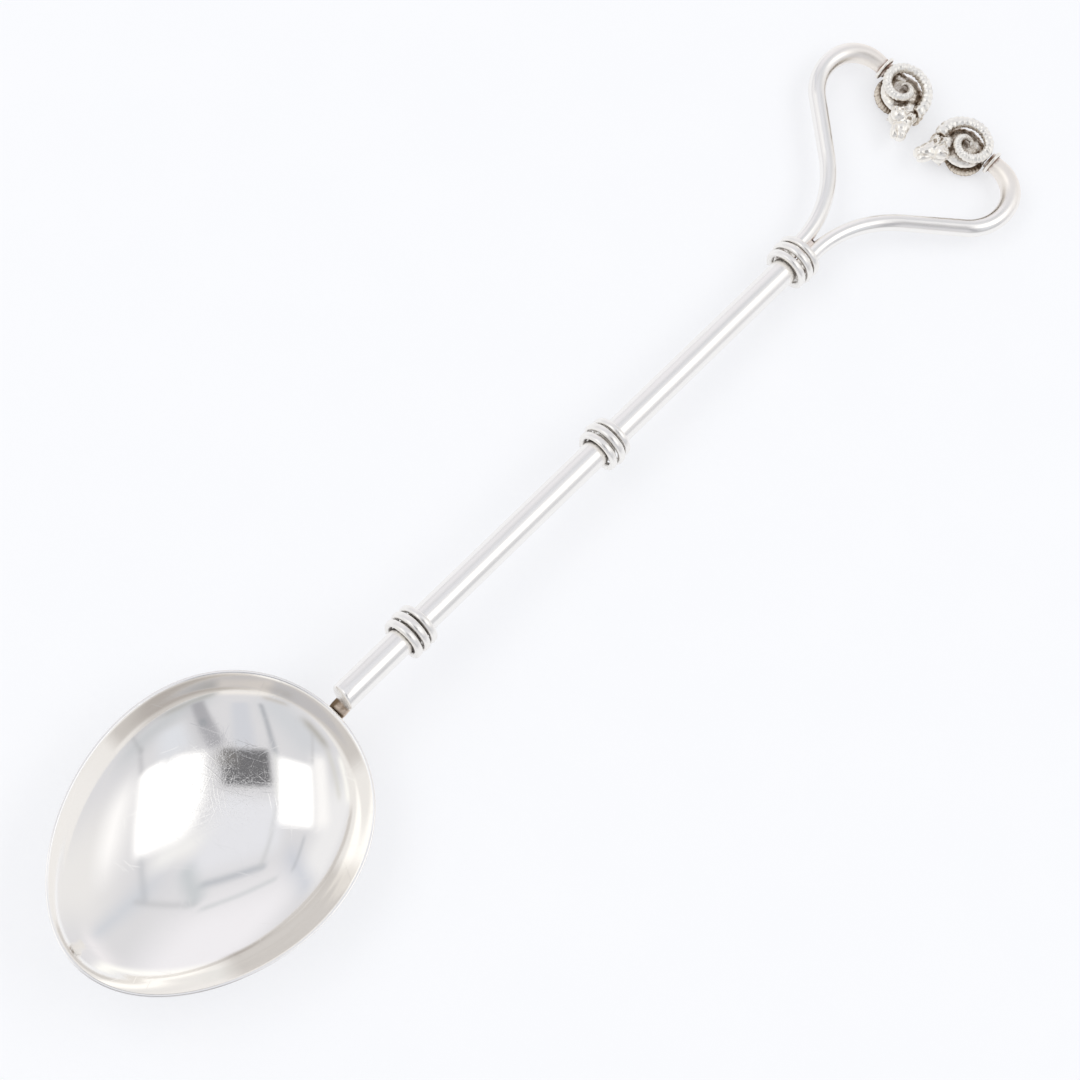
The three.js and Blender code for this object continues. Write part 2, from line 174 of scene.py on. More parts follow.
def split(tree, vector):
    return node(tree, "SeparateXYZ", {0: vector}).outputs


def distance_to(tree, place, point):
    return node(tree, "VectorMath", {0: place, 1: point}, operation="DISTANCE").outputs["Value"]


def new_group(name, inputs, outputs):
    """A shader node group, its incoming sockets, and the node that its results are fed to."""
    group = bpy.data.node_groups.new(name, "ShaderNodeTree")
    for label, kind, value in inputs:
        socket = group.interface.new_socket(name=label, in_out="INPUT", socket_type="NodeSocket" + kind)
        if value is not None:
            socket.default_value = value
    for label, kind in outputs:
        group.interface.new_socket(name=label, in_out="OUTPUT", socket_type="NodeSocket" + kind)
    return group, group.nodes.new("NodeGroupInput").outputs, group.nodes.new("NodeGroupOutput")


# Hairlines: five lots of long thin scratches, each at its own angle, and a haze between them
hairlines, into, out = new_group(
    "hairlines",
    [("Vector", "Vector", None), ("Fineness", "Float", 4200.0), ("Length", "Float", 120.0),
     ("Share", "Float", 0.5)],
    [("Mask", "Float"), ("Haze", "Float")])
lines = None
for turn, offset in ((0.3, 0.0), (0.95, 3.7), (1.5, 8.1), (2.2, 12.9), (2.8, 17.3)):
    turned = node(hairlines, "VectorRotate", {"Vector": into["Vector"], "Angle": turn},
                  rotation_type="Z_AXIS").outputs[0]
    level = split(hairlines, turned)
    bend = times(hairlines, mottled(hairlines, turned, 70.0, 0.0), 0.003)
    drawn = node(hairlines, "CombineXYZ", {
        "X": times(hairlines, level["X"], into["Length"]),
        "Y": times(hairlines, plus(hairlines, level["Y"], bend), into["Fineness"]),
        "Z": offset}).outputs[0]
    low = minus(hairlines, 0.82, times(hairlines, into["Share"], 0.16))
    one = ramp(hairlines, mottled(hairlines, drawn, 1.0, 1.0), low, plus(hairlines, low, 0.05))
    lines = one if lines is None else maths(hairlines, "MAXIMUM", lines, one)
feed(hairlines, out, {"Mask": lines, "Haze": mottled(hairlines, into["Vector"], 55.0, 3.0)})


def silver(name, roughness):
    """A silver material with its shader, and what every finish here starts from."""
    material = bpy.data.materials.new(name)
    material.use_nodes = True
    tree = material.node_tree
    tree.nodes.clear()
    shader = node(tree, "BsdfPrincipled", {
        "Base Color": silver_tint, "Metallic": 1.0, "Roughness": roughness})
    node(tree, "OutputMaterial", {"Surface": shader.outputs[0]})
    place = node(tree, "TexCoord").outputs["Object"]
    return material, tree, shader, place


def polished_bowl():
    """Mirror-bright silver with hairlines, scuffed where food is scooped from it."""
    buffed, scratch_rough, haze_rough, scuff_rough = 0.05, 0.09, 0.05, 0.2
    material, tree, shader, place = silver("bowl_silver", buffed)
    # Most of the wear is at the bottom of the bowl, a little towards the rod from its deepest point
    most_worn = tuple(on_table([-20.5, 4.5, -12.6])[0])
    worn = ramp(tree, distance_to(tree, place, most_worn), 0.013, 0.003)
    wiped = node(tree, "Group", {
        "Vector": place, "Share": plus(tree, 0.5, times(tree, worn, 0.7))}, node_tree=hairlines).outputs
    dulled = times(tree, ramp(tree, mottled(tree, place, 4300.0, 2.0), 0.5, 0.62), worn)
    rough = buffed
    for mask, more in ((wiped["Mask"], scratch_rough), (wiped["Haze"], haze_rough), (dulled, scuff_rough)):
        rough = plus(tree, rough, times(tree, mask, more))
    scratched = times(tree, wiped["Mask"], -1.0)
    scuffed = times(tree, mottled(tree, place, 2600.0, 3.0), plus(tree, 0.25, times(tree, worn, 1.1)))
    fine = node(tree, "Bump", {
        "Height": plus(tree, scratched, scuffed), "Strength": 0.13, "Distance": 0.00003})
    planished = node(tree, "Bump", {
        "Height": mottled(tree, place, 105.0, 1.0), "Strength": 0.06, "Distance": 0.0004,
        "Normal": fine.outputs[0]})
    tint = blend(tree, wiped["Haze"], (0.94, 0.923, 0.896, 1), (0.955, 0.945, 0.93, 1))
    # Painted shade: two bands high on the inside wall, under the rim, are darkened in the colour itself
    rim_shade = painted_shade_under_rim(tree, place, wiped["Haze"])
    feed(tree, shader, {
        "Base Color": blend(tree, rim_shade, tint, (0.69, 0.665, 0.64, 1)),
        "Roughness": rough,
        "Normal": planished.outputs[0]})
    return material


def painted_shade_under_rim(tree, place, haze):
    """Painted shade: the colour is darkened high on the inside wall, by the rod and on one side."""
    band_fade, band_blur, band_top, band_top_blur = 0.2, 0.0006, -0.0034, 0.0003
    middle = tuple(on_table([-rim_from_rod - bowl_length / 2, 0, 0])[0])
    outwards = split(tree, node(tree, "VectorMath", {0: place, 1: middle}, operation="SUBTRACT").outputs[0])
    round_bowl = maths(tree, "ARCTAN2", outwards["Y"], outwards["X"])
    upright = (math.sin(slope), 0, math.cos(slope))
    lift = node(tree, "VectorMath", {0: place, 1: upright}, operation="DOT_PRODUCT").outputs["Value"]
    height = minus(tree, lift, float(rod_end_on_table @ np.array(upright)) / 1000.0)
    wander = times(tree, minus(tree, haze, 0.5), 0.3)
    rim_shade = None
    # The way to the middle of each band, how far it reaches round the bowl, and its lower edge
    for where, reach, low in ((0.61, 0.84, -0.0060), (-1.56, 0.48, -0.0078)):
        from_middle = maths(tree, "ABSOLUTE", plus(tree, minus(tree, round_bowl, where), wander))
        one = times(tree, ramp(tree, from_middle, reach + band_fade, reach),
                    ramp(tree, height, low, low + band_blur))
        rim_shade = one if rim_shade is None else maths(tree, "MAXIMUM", rim_shade, one)
    rim_shade = times(tree, rim_shade, ramp(tree, height, band_top, band_top - band_top_blur))
    faces_up = split(tree, node(tree, "TexCoord").outputs["Normal"])["Z"]
    return times(tree, rim_shade, ramp(tree, faces_up, -0.05, 0.1))


angles = np.linspace(0, 2 * math.pi, bowl_sectors, endpoint=False)
inside = [math.sin(math.pi / 2 * r / bowl_rings) for r in range(1, bowl_rings)]
rings = []
for share in inside:
    thinned = max((share - bowl_thinned_from) / (1 - bowl_thinned_from), 0.0)
    inset = rim_width + (worn_rim_width - rim_width) * thinned ** 1.5
    rings.append(bowl_points(share, angles, inset, bowl_depth))
# The filed flat of the rim, softened at both edges: how far in from the outside, and how far down
for inset, down in ((worn_rim_width, 0.08), (worn_rim_width - 0.03, 0.03), (worn_rim_width - 0.09, 0.0),
                    (0.15, 0.0), (0.05, 0.03), (0.0, 0.12)):
    rings.append(bowl_points(1.0, angles, inset, bowl_depth, down))
for share in reversed(inside):
    rings.append(bowl_points(share, angles, 0.0, bowl_depth + bowl_wall))
centre = bowl_points(0.0, angles[:1], 0.0, bowl_depth)
under = bowl_points(0.0, angles[:1], 0.0, bowl_depth + bowl_wall)
points = np.concatenate(rings + [centre, under])
faces = [f[::-1] for f in ring_faces(len(rings), bowl_sectors)]
bowl = silver_piece("raised_bowl", points, faces, polished_bowl())
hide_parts("bowl")
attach(bowl, "root")

# Tang
# A short strap of silver under the rod, bent down at the rim and hammered thin along the outside
# of the bowl, where it is soldered. Flux and handling have left it brown.
tang_width = 3.1
tang_filed_narrower = 0.9
tang_thickness = 1.8
tang_tail_width = 1.4
tang_tail_thickness = 0.6
tang_lap_on_rod = 7.0
tang_from_rod_end = 0.4
tang_lap_on_bowl = 0.42
tang_set_over = 0.4
tang_into_solder = 0.06
tang_bulge_on_rod = 1.14
tang_end_filed_to = 0.4
tang_squareness = 0.45
tang_dents = 0.07
tang_sides = 40
tang_steps_on_rod = 16
tang_steps_on_bowl = 30
solder_gap = 0.3
rod_radius = 2.25

# Tarnish and painted shade: bright where a cloth reaches, brown where it doesn't, with the edge
# broken by noise. A mask of painted shade fed in with the hollows is painted brown the same way.
tarnish_and_shade, into, out = new_group(
    "tarnish_and_shade",
    [("Vector", "Vector", None), ("Open", "Float", 1.0), ("Reach", "Float", 0.5), ("Spread", "Float", 0.3),
     ("Bright", "Color", (0.93, 0.91, 0.88, 1)), ("Brown", "Color", (0.16, 0.11, 0.07, 1)),
     ("Grain", "Float", 900.0)],
    [("Color", "Color"), ("Mask", "Float"), ("Grain", "Float")])
grain = mottled(tarnish_and_shade, into["Vector"], into["Grain"], 3.0)
broken = plus(tarnish_and_shade, into["Open"], times(tarnish_and_shade, minus(tarnish_and_shade, grain, 0.5), 0.5))
bright_share = ramp(tarnish_and_shade, broken, minus(tarnish_and_shade, into["Reach"], into["Spread"]),
             plus(tarnish_and_shade, into["Reach"], into["Spread"]))
toned = blend(tarnish_and_shade, bright_share, into["Brown"], into["Bright"])
feed(tarnish_and_shade, out, {"Color": toned, "Mask": bright_share, "Grain": grain})


def worked_silver(name, bright, brown, reach, spread, hollow_size, clean_rough, dirty_rough, pits, grain,
                  painted_shade=None):
    """Silver with patina in its hollows and a fine cast or soldered grain; an extra mask adds painted shade.
    """
    material, tree, shader, place = silver(name, clean_rough)
    openness = node(tree, "AmbientOcclusion", {"Distance": hollow_size}, samples=8).outputs["AO"]
    if painted_shade:
        openness = times(tree, openness, painted_shade(tree, place))
    patina_and_shade = node(tree, "Group", {
        "Vector": place, "Open": openness, "Reach": reach, "Spread": spread, "Bright": bright,
        "Brown": brown, "Grain": grain}, node_tree=tarnish_and_shade).outputs
    rough = plus(tree, dirty_rough, times(tree, patina_and_shade["Mask"], clean_rough - dirty_rough))
    bump = node(tree, "Bump", {"Height": patina_and_shade["Grain"], "Strength": pits, "Distance": 0.00005})
    feed(tree, shader, {
        "Base Color": patina_and_shade["Color"],
        "Roughness": plus(tree, rough, times(tree, patina_and_shade["Grain"], 0.08)),
        "Normal": bump.outputs[0]})
    return material


def painted_shadow_on_left_edge(tree, place):
    """Painted shadow: the left edge of the tang is painted nearly black, where shadow falls on it."""
    return ramp(tree, split(tree, place)["Y"], 0.0010, 0.0002, 0.3, 1.0)


tang_silver = worked_silver(
    "tang_silver", bright=(0.80, 0.675, 0.56, 1), brown=(0.20, 0.14, 0.09, 1), reach=0.80, spread=0.28,
    hollow_size=0.002, clean_rough=0.34, dirty_rough=0.5, pits=0.6, grain=2100.0,
    painted_shade=painted_shadow_on_left_edge)
# Its middle line, which way is out from there, how far it has tapered, and how thick it is left
spine = []
for k in range(tang_steps_on_rod + 1):
    x = tang_lap_on_rod * (1 - k / tang_steps_on_rod) + tang_from_rod_end
    under_rod = np.array([x, 0, -rod_radius + solder_gap - tang_into_solder])
    filed = tang_end_filed_to + (1 - tang_end_filed_to) * min(k / 5, 1.0) ** 0.6
    spine.append((under_rod, np.array([0, 0, -1.0]), 0.0, tang_bulge_on_rod * filed))
for k in range(tang_steps_on_bowl + 1):
    share = 1 - tang_lap_on_bowl * k / tang_steps_on_bowl
    at, lower = (bowl_points(s, np.zeros(1), 0.0, bowl_depth + bowl_wall)[0] for s in (share, share - 0.01))
    run = (lower - at) / np.linalg.norm(lower - at)
    spine.append((at, np.array([-run[2], 0, run[0]]), k / tang_steps_on_bowl, 1.0))
centres, half_sizes = [], []
for at, outwards, taper, beaten in spine:
    thick = (tang_thickness + (tang_tail_thickness - tang_thickness) * taper) * beaten
    wide = (tang_width + (tang_tail_width - tang_width) * taper) * tang_filed_narrower
    centres.append(at + outwards * (solder_gap + thick / 2))
    half_sizes.append((wide / 2, thick / 2))
rings = []
for k, centre in enumerate(centres):
    run = centres[min(k + 1, len(centres) - 1)] - centres[max(k - 1, 0)]
    up = np.cross(run / np.linalg.norm(run), [0, 1, 0])
    ring = []
    for a in around(tang_sides):
        c, s = math.cos(a), math.sin(a)
        wide = math.copysign(abs(c) ** tang_squareness, c) * half_sizes[k][0]
        wide -= tang_set_over * (1 - spine[k][2])
        deep = math.copysign(abs(s) ** tang_squareness, s) * half_sizes[k][1]
        dent = 1 + tang_dents * noise.noise(Vector((k * 0.35, 2 * c, 2 * s)))
        ring.append(centre + np.array([0, 1, 0]) * wide * dent + up * deep * dent)
    rings.append(np.array(ring))
points = np.concatenate(rings + [centres[:1], centres[-1:]])
tang = silver_piece("bent_tang", points, ring_faces(len(rings), tang_sides), tang_silver)
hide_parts("neck_tang")
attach(tang, "root")

# Handle rod
# Round drawn silver rod, cut square and its edges broken with a file. It was polished along its
# length, so its scratches run that way.
rod_length = 105.2
rod_bevel = 0.4
rod_filed_over_tang = 0.65
rod_cut_askew = 0.35
rod_sides = 96
rod_stations = 105

drawn_lines, into, out = new_group(
    "drawn_lines",
    [("Along", "Vector", None), ("Place", "Vector", None)],
    [("Mask", "Float"), ("Mottle", "Float")])
stretched = node(drawn_lines, "Mapping", {"Vector": into["Along"], "Scale": (0.22, 46.0, 1.0)}).outputs[0]
feed(drawn_lines, out, {
    "Mask": mottled(drawn_lines, stretched, 1.0, 3.0),
    "Mottle": mottled(drawn_lines, into["Place"], 260.0, 3.0)})


def drawn_silver(name, base_rough, heated_from=None, heated_by=None):
    """Drawn silver, scratched along it. Where a torch was held, in mm along it, it is matt and warm."""
    material, tree, shader, place = silver(name, base_rough)
    wrap = node(tree, "UVMap", uv_map="wrap").outputs[0]
    lines = node(tree, "Group", {"Along": wrap, "Place": place}, node_tree=drawn_lines).outputs
    rough = plus(tree, base_rough - 0.03, times(tree, lines["Mottle"], 0.09))
    height = plus(tree, times(tree, lines["Mask"], 0.5), lines["Mottle"])
    bump = node(tree, "Bump", {"Height": height, "Strength": 0.16, "Distance": 0.00004})
    tint = blend(tree, lines["Mottle"], (0.92, 0.9, 0.87, 1), (0.95, 0.935, 0.915, 1))
    if heated_by:
        heated = ramp(tree, split(tree, wrap)["X"], heated_from, heated_by)
        openness = node(tree, "AmbientOcclusion", {"Distance": 0.0011}, samples=8).outputs["AO"]
        tint = node(tree, "Group", {
            "Vector": place, "Open": minus(tree, openness, times(tree, heated, 0.27)), "Reach": 0.42,
            "Spread": 0.2, "Bright": blend(tree, heated, tint, (0.96, 0.91, 0.85, 1)),
            "Brown": (0.30, 0.16, 0.11, 1), "Grain": 1800.0}, node_tree=tarnish_and_shade).outputs["Color"]
        rough = plus(tree, rough, times(tree, heated, 0.25))
    feed(tree, shader, {"Base Color": tint, "Roughness": rough, "Normal": bump.outputs[0]})
    return material


# The broken edge of each end: how far along, and the radius there
edge = ((0.0, rod_radius - rod_bevel - 0.25), (0.0, rod_radius - rod_bevel),
        (0.04, rod_radius - rod_bevel + 0.14), (0.12, rod_radius - 0.1),
        (0.24, rod_radius - 0.015), (0.36, rod_radius))
stations = [(x - rod_filed_over_tang, r) for x, r in edge]
stations += [(x, rod_radius) for x in np.linspace(1.0, rod_length - 1.0, rod_stations)]
stations += [(rod_length - x, r) for x, r in reversed(edge)]
points, wrap = [], []
for x, r in stations:
    for a in around(rod_sides):
        askew = rod_cut_askew * (1 - math.cos(a) * r / rod_radius) if x < 0 else 0.0
        points.append((x - askew, r * math.cos(a), r * math.sin(a)))
        wrap.append((x, a / (2 * math.pi)))
points += [(-rod_filed_over_tang - rod_cut_askew, 0, 0), (rod_length, 0, 0)]
wrap += [(0, 0), (rod_length, 0)]
rod = silver_piece("drawn_rod", points, ring_faces(len(stations), rod_sides),
                   drawn_silver("rod_silver", 0.23), uv=wrap)
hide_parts("handle_rod")
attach(rod, "root")

# Wire bindings
# Silver wire wound round the rod, so that three turns show side by side, soldered and rubbed
# bright on top. Soot and polish stay in the gaps. The last one also holds the arms on the rod.
binding_wire = 1.15
binding_pitch = 1.65
binding_turns = 2.6
binding_step = 160
binding_sides = 20
binding_steps_per_turn = 90
middle_turn = 2
wire_rubbed = 0.16
wire_dents = 0.06
wire_flattened = 1.13
wire_flattened_varies = 0.13
arm_radius = 1.325
arm_gap = 0.2
arm_offset = arm_radius + arm_gap / 2
room_for_rod = rod_radius + solder_gap
room_for_arms = max(rod_radius, arm_offset + arm_radius) + arm_gap

binding_silver = worked_silver(
    "binding_silver", bright=(0.93, 0.91, 0.88, 1), brown=(0.10, 0.08, 0.065, 1), reach=0.38, spread=0.2,
    hollow_size=0.001, clean_rough=0.27, dirty_rough=0.5, pits=0.55, grain=2400.0)


def smoothstep(x, low, high):
    t = np.clip((x - low) / (high - low), 0.0, 1.0)
    return t * t * (3 - 2 * t)


def binding_point(turn, radius, swell):
    """Each turn lies flat for most of its way round, then steps over to the next at the back."""
    half_step = binding_step / 720
    advance = math.floor(turn) + smoothstep(turn - math.floor(turn), 0.5 - half_step, 0.5 + half_step)
    share = min(max((turn - middle_turn) / binding_turns, -0.5), 0.5)
    r = radius + swell * math.cos(math.pi * share) ** 2
    angle = 2 * math.pi * turn + math.pi / 2
    return np.array([(advance - middle_turn) * binding_pitch, r * math.cos(angle), r * math.sin(angle)])


def binding_line(middle, swell, settle):
    """The middle of the wire, drawn out straight by its own thickness past either end."""
    first, last = middle_turn - binding_turns / 2, middle_turn + binding_turns / 2
    lead = binding_wire / (2 * math.pi * middle)
    line = []
    for turn in np.linspace(first - lead, last + lead, int(binding_steps_per_turn * binding_turns)):
        held = min(max(turn, first), last)
        point = binding_point(held, middle, swell)
        if turn != held:
            step = binding_point(held + 1e-3, middle, swell) - binding_point(held - 1e-3, middle, swell)
            point = point + step * (turn - held) / 2e-3
        line.append(point)
    line = np.array(line)
    line[:, 1:] *= (1 - settle / middle * smoothstep(line[:, 0], 0.4, -1.6))[:, None]
    return line


# Name, place, inner radius, swell of the middle, how far the first turn closes in on the rod, seed
for name, at, inner, swell, settle, seed in (
        ("lower_binding", 14.3, room_for_rod, 0.15, 0.0, 3.0),
        ("middle_binding", 59.3, room_for_rod, 0.4, 0.0, 7.0),
        ("upper_binding", rod_length + 0.95, room_for_arms, 0.1, 0.24, 12.0)):
    line = binding_line(inner + binding_wire / 2, swell, settle)
    runs = np.gradient(line, axis=0)
    runs /= np.linalg.norm(runs, axis=1)[:, None]
    rings = []
    for k, (middle, run) in enumerate(zip(line, runs)):
        outwards = middle * np.array([0, 1, 1])
        outwards /= np.linalg.norm(outwards)
        side = np.cross(run, outwards)
        ring = []
        for a in around(binding_sides):
            c, s = math.cos(a), math.sin(a)
            worn = 1 - wire_rubbed * max(s, 0.0) ** 3
            dent = 1 + wire_dents * noise.noise(Vector((k * 0.07, seed + 1.5 * c, 1.5 * s)))
            flat = wire_flattened + wire_flattened_varies * noise.noise(Vector((k * 0.05, seed * 3.1, 0.0)))
            ring.append(middle + (side * c * flat + outwards * s * worn) * binding_wire / 2 * dent)
        rings.append(np.array(ring))
    for end, grow in ((0, -1), (-1, 1)):
        cap = line[end] + (rings[end] - line[end]) * 0.8 + grow * runs[end] * 0.1
        rings.insert(0 if end == 0 else len(rings), cap)
    tips = np.array([line[0] - runs[0] * 0.12, line[-1] + runs[-1] * 0.12])
    points = np.concatenate(rings + [tips]) + np.array([at, 0, 0])
    faces = [f[::-1] for f in ring_faces(len(rings), binding_sides)]
    binding = silver_piece("wound_" + name, points, faces, binding_silver)
    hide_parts(name)
    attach(binding, "root")

# Heart arms
# Two lengths of thinner round wire, laid side by side on the end of the rod and bent by hand
# into a heart. They are polished, but dull and warm near the heads, where they were soldered.
arm_bends = ((4.5, 0), (21, 48), (10.9, 0), (8.8, -63), (5.8, -75), (2.1, 0))
heart_lean = math.radians(1.1)
arm_sides = 48
both_sides = (("left", 1), ("right", -1))

# How much the hammer has spread the wire, by the share of its length: most just behind the head
arm_spread = ((0, 1.0), (0.16, 1.0), (0.4, 1.07), (0.62, 1.12), (0.74, 1.18), (0.86, 1.3), (0.93, 1.26),
              (0.97, 1.1), (1, 1.08))

arm_silver = drawn_silver("arm_silver", 0.2, heated_from=36.0, heated_by=51.0)


def arm_walk(side):
    """Points along the middle of one arm, in the heart's own frame, and the way it ends."""
    at, heading = np.array([solder_gap, side * arm_offset]), 0.0
    line = [at.copy()]
    for size, degrees in arm_bends:
        turn = side * math.radians(degrees)
        length = size * abs(turn) if degrees else size
        steps = max(4, int(length / 0.35))
        for _ in range(steps):
            heading += turn / steps / 2
            at = at + length / steps * np.array([math.cos(heading), math.sin(heading)])
            heading += turn / steps / 2
            line.append(at.copy())
    return np.array(line), heading


def eased(values, passes):
    """Values along a line, each averaged with its neighbours over and over."""
    values = values.copy()
    for _ in range(passes):
        values[1:-1] = (values[:-2] + 2 * values[1:-1] + values[2:]) / 4
    return values


def heart_to_rod(points):
    p = np.asarray(points, dtype=float).reshape(-1, 3)
    c, s = math.cos(heart_lean), math.sin(heart_lean)
    return np.stack([c * p[:, 0] - s * p[:, 1] + rod_length, s * p[:, 0] + c * p[:, 1], p[:, 2]], axis=1)


for name, side in both_sides:
    line, heading = arm_walk(side)
    runs = eased(np.gradient(line, axis=0), 6)
    runs /= np.linalg.norm(runs, axis=1)[:, None]
    travelled = np.concatenate([[0], np.cumsum(np.linalg.norm(np.diff(line, axis=0), axis=1))])
    spread = eased(np.interp(travelled / travelled[-1], *zip(*arm_spread)), 12)
    points, wrap = [], []
    for at, run, x, radius in zip(line, runs, travelled, arm_radius * spread):
        for a in around(arm_sides):
            out_y = math.cos(a) * radius
            points.append((at[0] - run[1] * out_y, at[1] + run[0] * out_y, radius * math.sin(a)))
            wrap.append((x, a / (2 * math.pi)))
    points += [(line[0][0], line[0][1], 0), (line[-1][0], line[-1][1], 0)]
    wrap += [(0, 0), (travelled[-1], 0)]
    faces = ring_faces(len(line), arm_sides)
    arm = silver_piece(name + "_bent_arm", heart_to_rod(points), faces, arm_silver, uv=wrap)
    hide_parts(name + "_heart_arm")
    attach(arm, "root")

# The solder run into the fork between them, reddish, with one dark pit at its end. The pit is not cut into
# the mesh: its shade is painted there as a dark spot.
pit_at = tuple(on_table(heart_to_rod([6.35, 0.0, 0.5]))[0])
solder_sides = 28


# Painted shade: the colour is darkened round the pit, where its shade would fall
def painted_shade_in_pit(tree, place):
    return ramp(tree, distance_to(tree, place, pit_at), 0.0003, 0.00055)


fork_solder = worked_silver(
    "fork_solder", bright=(0.89, 0.81, 0.76, 1), brown=(0.07, 0.03, 0.02, 1), reach=0.5, spread=0.24,
    hollow_size=0.0010, clean_rough=0.48, dirty_rough=0.6, pits=0.9, grain=2600.0, painted_shade=painted_shade_in_pit)
rings = []
# Along the fork, half its width and half its height
for x, half_wide, half_high in (
        (2.9, 0.5, 0.8), (3.0, 0.75, 1.02), (3.5, 0.78, 1.02), (4.1, 0.76, 1.0), (4.7, 0.76, 0.98),
        (5.3, 0.78, 0.94), (5.8, 0.78, 0.86), (6.15, 0.74, 0.74), (6.4, 0.66, 0.56), (6.55, 0.5, 0.3)):
    ring = []
    for a in around(solder_sides):
        dent = 1 + 0.1 * noise.noise(Vector((x * 1.7, 1.3 * math.cos(a), 1.3 * math.sin(a))))
        ring.append((x, half_wide * math.cos(a) * dent, half_high * math.sin(a) * dent))
    rings.append(ring)
points = np.concatenate(rings + [[(2.85, 0, 0), (6.6, 0, 0)]])
faces = ring_faces(len(rings), solder_sides)
fillet = silver_piece("solder_in_the_fork", heart_to_rod(points), faces, fork_solder)
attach(fillet, "root")

# Collars
# A ring of fine wire round each arm, close behind the head. It is soldered there to hide the
# joint, and is left with the same dark hollows as the head's casting.
collar_wire = 0.62
collar_gap = 0.22
collar_from_end = 0.7
collar_sides = 72
collar_wire_sides = 16

head_silver = worked_silver(
    "head_silver", bright=(0.96, 0.93, 0.875, 1), brown=(0.23, 0.155, 0.095, 1), reach=0.57, spread=0.19,
    hollow_size=0.0028, clean_rough=0.26, dirty_rough=0.45, pits=0.8, grain=2300.0)

for name, side in both_sides:
    line, heading = arm_walk(side)
    run = np.array([math.cos(heading), math.sin(heading), 0])
    across = np.array([-run[1], run[0], 0])
    middle = np.array([line[-1][0], line[-1][1], 0]) - run * collar_from_end
    radius = arm_radius + collar_gap + collar_wire / 2
    points, faces = [], []
    for j, a in enumerate(around(collar_sides)):
        outwards = across * math.cos(a) + np.array([0, 0, 1]) * math.sin(a)
        next_j = (j + 1) % collar_sides
        for k, b in enumerate(around(collar_wire_sides)):
            points.append(middle + outwards * (radius + collar_wire / 2 * math.cos(b))
                          + run * collar_wire / 2 * math.sin(b))
            next_k = (k + 1) % collar_wire_sides
            corners = ((j, k), (next_j, k), (next_j, next_k), (j, next_k))
            faces.append([row * collar_wire_sides + column for row, column in corners])
    collar = silver_piece(name + "_wire_collar", heart_to_rod(points), faces, head_silver)
    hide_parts(name + "_collar")
    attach(collar, "root")

# Ram's heads
# One casting used twice, the second turned over: a skull with brow, eyes, ears, nostrils and a
# mouth, chased after casting. It is bright on its high points and brown in its hollows.
neck_bend = math.radians(49.5)
neck_seat_angle = math.radians(207)
horn_coil_radius = 3.58
horn_coil_thickness = 1.5
neck_past_horn = 0.05
neck_radius = 1.3
neck_reach = horn_coil_radius + horn_coil_thickness / 2 + neck_past_horn
neck_seat = np.array([math.cos(neck_seat_angle), math.sin(neck_seat_angle), 0]) * neck_reach
neck_along = np.array([math.cos(neck_bend), math.sin(neck_bend), 0])
ear_steps = 14
mouth_steps = 12
curls_per_mm = 1.35
curl_height = 0.34
skin_grain_per_mm = 2.3
skin_grain_height = 0.035

# Middle, half sizes, and turn across the head in degrees
head_lumps = {
    "back of the head": ((0.05, 0.1, 0), (3.72, 3.66, 1.5), 8),
    "skull": ((3.3, 0.75, 0), (2.1, 2.2, 1.7), -12),
    "face": ((4.9, 0.3, 0), (2.0, 1.72, 1.5), -24),
    "muzzle": ((6.45, -0.2, 0), (1.9, 1.48, 1.32), -24),
    "nose": ((7.9, -0.5, 0), (1.08, 1.16, 1.2), -20),
    "lower jaw": ((7.2, -1.48, 0), (1.5, 0.62, 0.92), -10),
    "forelock": ((4.4, 2.0, 0), (1.3, 0.72, 0.95), -28),
}
paired_lumps = {
    "cheek": ((4.2, -0.7, 0.75), (1.6, 1.4, 1.1), -18),
    "brow": ((4.95, 1.62, 1.3), (0.9, 0.36, 0.55), -26),
    "eye": ((4.8, 1.1, 1.66), (0.46, 0.46, 0.46), 0),
    "lower lid": ((5.0, 0.55, 1.35), (0.8, 0.26, 0.5), -30),
    "side of the nose": ((8.25, -0.42, 0.74), (0.5, 0.44, 0.42), -20),
}
# Chasing: each stroke pushes the skin in along its own normal: middle, reach, depth
paired_strokes = {
    "pupil": ((4.82, 1.12, 2.1), (0.15, 0.15, 0.3), -0.26),
    "front corner of the eye": ((5.35, 0.98, 1.75), (0.22, 0.34, 0.5), -0.16),
    "back corner of the eye": ((4.25, 1.2, 1.8), (0.2, 0.34, 0.5), -0.15),
    "nostril": ((8.5, -0.38, 0.95), (0.24, 0.16, 0.34), -0.34),
    "side of the muzzle": ((6.5, 0.3, 1.25), (1.0, 0.26, 0.3), -0.1),
    "front of the cheek": ((5.7, -0.72, 1.25), (0.55, 0.5, 0.4), -0.16),
    "under the ear": ((4.1, -1.15, 2.2), (0.28, 0.6, 0.4), -0.2),
    "behind the cheek": ((3.6, 0.2, 1.8), (0.18, 0.8, 0.4), -0.2),
}
for k in range(mouth_steps):
    t = k / (mouth_steps - 1)
    along_mouth = (8.9 - 2.7 * t, -1.18 - 0.1 * t, 0.45 + 0.75 * t)
    paired_strokes["mouth {}".format(k)] = (along_mouth, (0.24, 0.11, 0.5), -0.13 * (1 - 0.4 * t))


def lump(bm, place, halves, subdivisions=3):
    """An egg of clay: a ball drawn out to three half sizes and put in its place."""
    made = bmesh.ops.create_icosphere(bm, subdivisions=subdivisions, radius=1.0)
    bmesh.ops.transform(bm, matrix=place @ Matrix.Diagonal((*halves, 1)), verts=made["verts"])


def head_place(middle, degrees, mirror=1):
    turned = Matrix.Rotation(math.radians(degrees), 4, "Z")
    return Matrix.Translation((middle[0], middle[1], middle[2] * mirror)) @ turned


